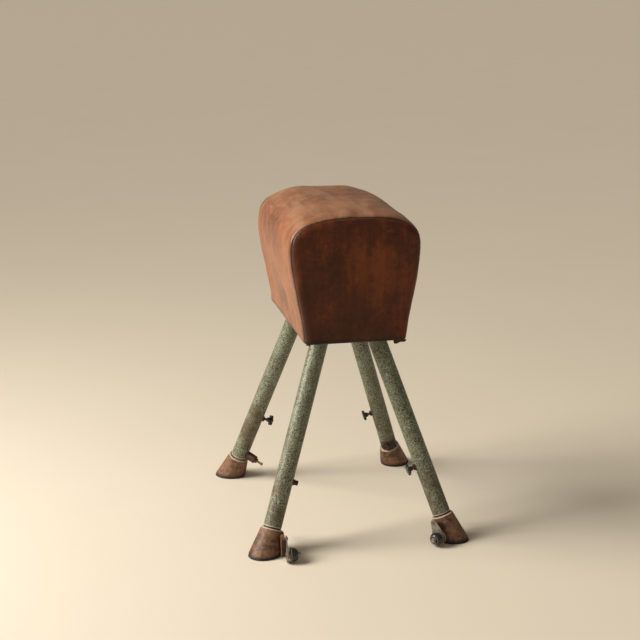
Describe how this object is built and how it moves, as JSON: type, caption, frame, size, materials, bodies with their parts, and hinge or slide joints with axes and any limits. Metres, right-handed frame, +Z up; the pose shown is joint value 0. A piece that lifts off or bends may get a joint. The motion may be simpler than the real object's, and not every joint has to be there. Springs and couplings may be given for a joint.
{
  "type": "vaulting buck",
  "caption": "Leather-covered padded box on splayed telescopic tube legs with clamp knobs, latch pins and small rollers at the front feet, for vaulting.",
  "frame": {"origin": "on the floor, at the centre of the bounding box; the leather body is centred a little behind it because of the rollers", "axes": "+Z up, +Y along the body away from the roller end, +X across the body"},
  "size_m": [0.6202, 0.7553, 0.9228],
  "materials": {
    "wood": "bare plywood",
    "zinc_steel": "dull zinc plating",
    "padding": "felt and hair padding",
    "leather": "waxed, scuffed leather",
    "welt": "dark piped leather",
    "tack": "aged domed tacks",
    "hammered_paint": "hammered grey-green enamel with dark speckle",
    "rusty_iron": "rust-brown iron",
    "brass": "aged brass",
    "bare_steel": "plain drawn steel",
    "foot_iron": "brown patina with worn pale edges",
    "sole_rubber": "dull black rubber",
    "knob_plastic": "dark moulded plastic",
    "worn_steel": "worn steel",
    "wheel_plastic": "polished black"
  },
  "bodies": {
    "frame": {"base_board": "wood", "end_board_front": "wood", "end_board_back": "wood", "side_board_left": "wood", "side_board_right": "wood", "top_board": "wood", "box_screws": "zinc_steel", "padding": "padding", "leather_main": "leather", "leather_end_front": "leather", "leather_end_back": "leather", "welts": "welt", "tacks": "tack", "leg_flanges": "hammered_paint", "flange_bolts": "zinc_steel", "flange_nuts": "zinc_steel", "clamp_bosses": "hammered_paint", "outer_tube_fl": "hammered_paint", "latch_housing_fl": "rusty_iron", "outer_tube_fr": "hammered_paint", "latch_housing_fr": "rusty_iron", "outer_tube_bl": "hammered_paint", "latch_housing_bl": "rusty_iron", "outer_tube_br": "hammered_paint", "latch_housing_br": "rusty_iron"},
    "leg_fl": {"inner_tube_fl": "bare_steel", "foot_fl": "foot_iron", "sole_fl": "sole_rubber", "roller_bracket_fl": "worn_steel", "roller_axle_fl": "worn_steel"},
    "clamp_pad_fl": {"clamp_pad_fl": "brass"},
    "clamp_knob_fl": {"clamp_screw_fl": "worn_steel", "clamp_knob_fl": "knob_plastic"},
    "latch_pin_fl": {"latch_pin_fl": "brass"},
    "roller_fl": {"roller_wheel_fl": "wheel_plastic"},
    "leg_fr": {"inner_tube_fr": "bare_steel", "foot_fr": "foot_iron", "sole_fr": "sole_rubber", "roller_bracket_fr": "worn_steel", "roller_axle_fr": "worn_steel"},
    "clamp_pad_fr": {"clamp_pad_fr": "brass"},
    "clamp_knob_fr": {"clamp_screw_fr": "worn_steel", "clamp_knob_fr": "knob_plastic"},
    "latch_pin_fr": {"latch_pin_fr": "brass"},
    "roller_fr": {"roller_wheel_fr": "wheel_plastic"},
    "leg_bl": {"inner_tube_bl": "bare_steel", "foot_bl": "foot_iron", "sole_bl": "sole_rubber"},
    "clamp_pad_bl": {"clamp_pad_bl": "brass"},
    "clamp_knob_bl": {"clamp_screw_bl": "worn_steel", "clamp_knob_bl": "knob_plastic"},
    "latch_pin_bl": {"latch_pin_bl": "brass"},
    "leg_br": {"inner_tube_br": "bare_steel", "foot_br": "foot_iron", "sole_br": "sole_rubber"},
    "clamp_pad_br": {"clamp_pad_br": "brass"},
    "clamp_knob_br": {"clamp_screw_br": "worn_steel", "clamp_knob_br": "knob_plastic"},
    "latch_pin_br": {"latch_pin_br": "brass"}
  },
  "joints": [
    {"name": "leg_slide_fl", "type": "slide", "parent": "frame", "child": "leg_fl", "axis": [-0.3047, -0.2547, -0.9177], "range_m": [0, 0.327]},
    {"name": "clamp_travel_fl", "type": "slide", "parent": "frame", "child": "clamp_pad_fl", "axis": [0.9524, -0.0815, -0.2936], "range_m": [0, 0.005]},
    {"name": "clamp_turn_fl", "type": "hinge", "parent": "clamp_pad_fl", "child": "clamp_knob_fl", "pos_m": [-0.19923, -0.23682, 0.18905], "axis": [0.9524, -0.0815, -0.2936], "range_deg": [0, 1440]},
    {"name": "latch_travel_fl", "type": "slide", "parent": "frame", "child": "latch_pin_fl", "axis": [0.0851, 0.9524, -0.2926], "range_m": [-0.006, 0]},
    {"name": "roller_spin_fl", "type": "hinge", "parent": "leg_fl", "child": "roller_fl", "pos_m": [-0.195, -0.3583, 0.022], "axis": [0.9976, -0.0698, 0], "continuous": true},
    {"name": "leg_slide_fr", "type": "slide", "parent": "frame", "child": "leg_fr", "axis": [0.3047, -0.2547, -0.9177], "range_m": [0, 0.327]},
    {"name": "clamp_travel_fr", "type": "slide", "parent": "frame", "child": "clamp_pad_fr", "axis": [-0.9524, -0.0815, -0.2936], "range_m": [0, 0.005]},
    {"name": "clamp_turn_fr", "type": "hinge", "parent": "clamp_pad_fr", "child": "clamp_knob_fr", "pos_m": [0.19404, -0.23249, 0.20466], "axis": [-0.9524, -0.0815, -0.2936], "range_deg": [0, 1440]},
    {"name": "latch_travel_fr", "type": "slide", "parent": "frame", "child": "latch_pin_fr", "axis": [0.2387, 0.9532, -0.1853], "range_m": [-0.006, 0]},
    {"name": "roller_spin_fr", "type": "hinge", "parent": "leg_fr", "child": "roller_fr", "pos_m": [0.203, -0.3393, 0.022], "axis": [-0.7431, -0.6691, 0], "continuous": true},
    {"name": "leg_slide_bl", "type": "slide", "parent": "frame", "child": "leg_bl", "axis": [-0.3047, 0.2547, -0.9177], "range_m": [0, 0.327]},
    {"name": "clamp_travel_bl", "type": "slide", "parent": "frame", "child": "clamp_pad_bl", "axis": [0.9524, 0.0815, -0.2936], "range_m": [0, 0.005]},
    {"name": "clamp_turn_bl", "type": "hinge", "parent": "clamp_pad_bl", "child": "clamp_knob_bl", "pos_m": [-0.19496, 0.27466, 0.2019], "axis": [0.9524, 0.0815, -0.2936], "range_deg": [0, 1440]},
    {"name": "latch_travel_bl", "type": "slide", "parent": "frame", "child": "latch_pin_bl", "axis": [0.7028, -0.5902, -0.3972], "range_m": [-0.006, 0]},
    {"name": "leg_slide_br", "type": "slide", "parent": "frame", "child": "leg_br", "axis": [0.3047, 0.2547, -0.9177], "range_m": [0, 0.327]},
    {"name": "clamp_travel_br", "type": "slide", "parent": "frame", "child": "clamp_pad_br", "axis": [-0.9524, 0.0815, -0.2936], "range_m": [0, 0.005]},
    {"name": "clamp_turn_br", "type": "hinge", "parent": "clamp_pad_br", "child": "clamp_knob_br", "pos_m": [0.19709, 0.27644, 0.19548], "axis": [-0.9524, 0.0815, -0.2936], "range_deg": [0, 1440]},
    {"name": "latch_travel_br", "type": "slide", "parent": "frame", "child": "latch_pin_br", "axis": [-0.4164, -0.831, -0.3689], "range_m": [-0.006, 0]}
  ],
  "couplings": [
    {"joint": "clamp_turn_fl", "follows": "clamp_travel_fl", "rad_per_m": 5026.5},
    {"joint": "clamp_turn_fr", "follows": "clamp_travel_fr", "rad_per_m": 5026.5},
    {"joint": "clamp_turn_bl", "follows": "clamp_travel_bl", "rad_per_m": 5026.5},
    {"joint": "clamp_turn_br", "follows": "clamp_travel_br", "rad_per_m": 5026.5}
  ]
}
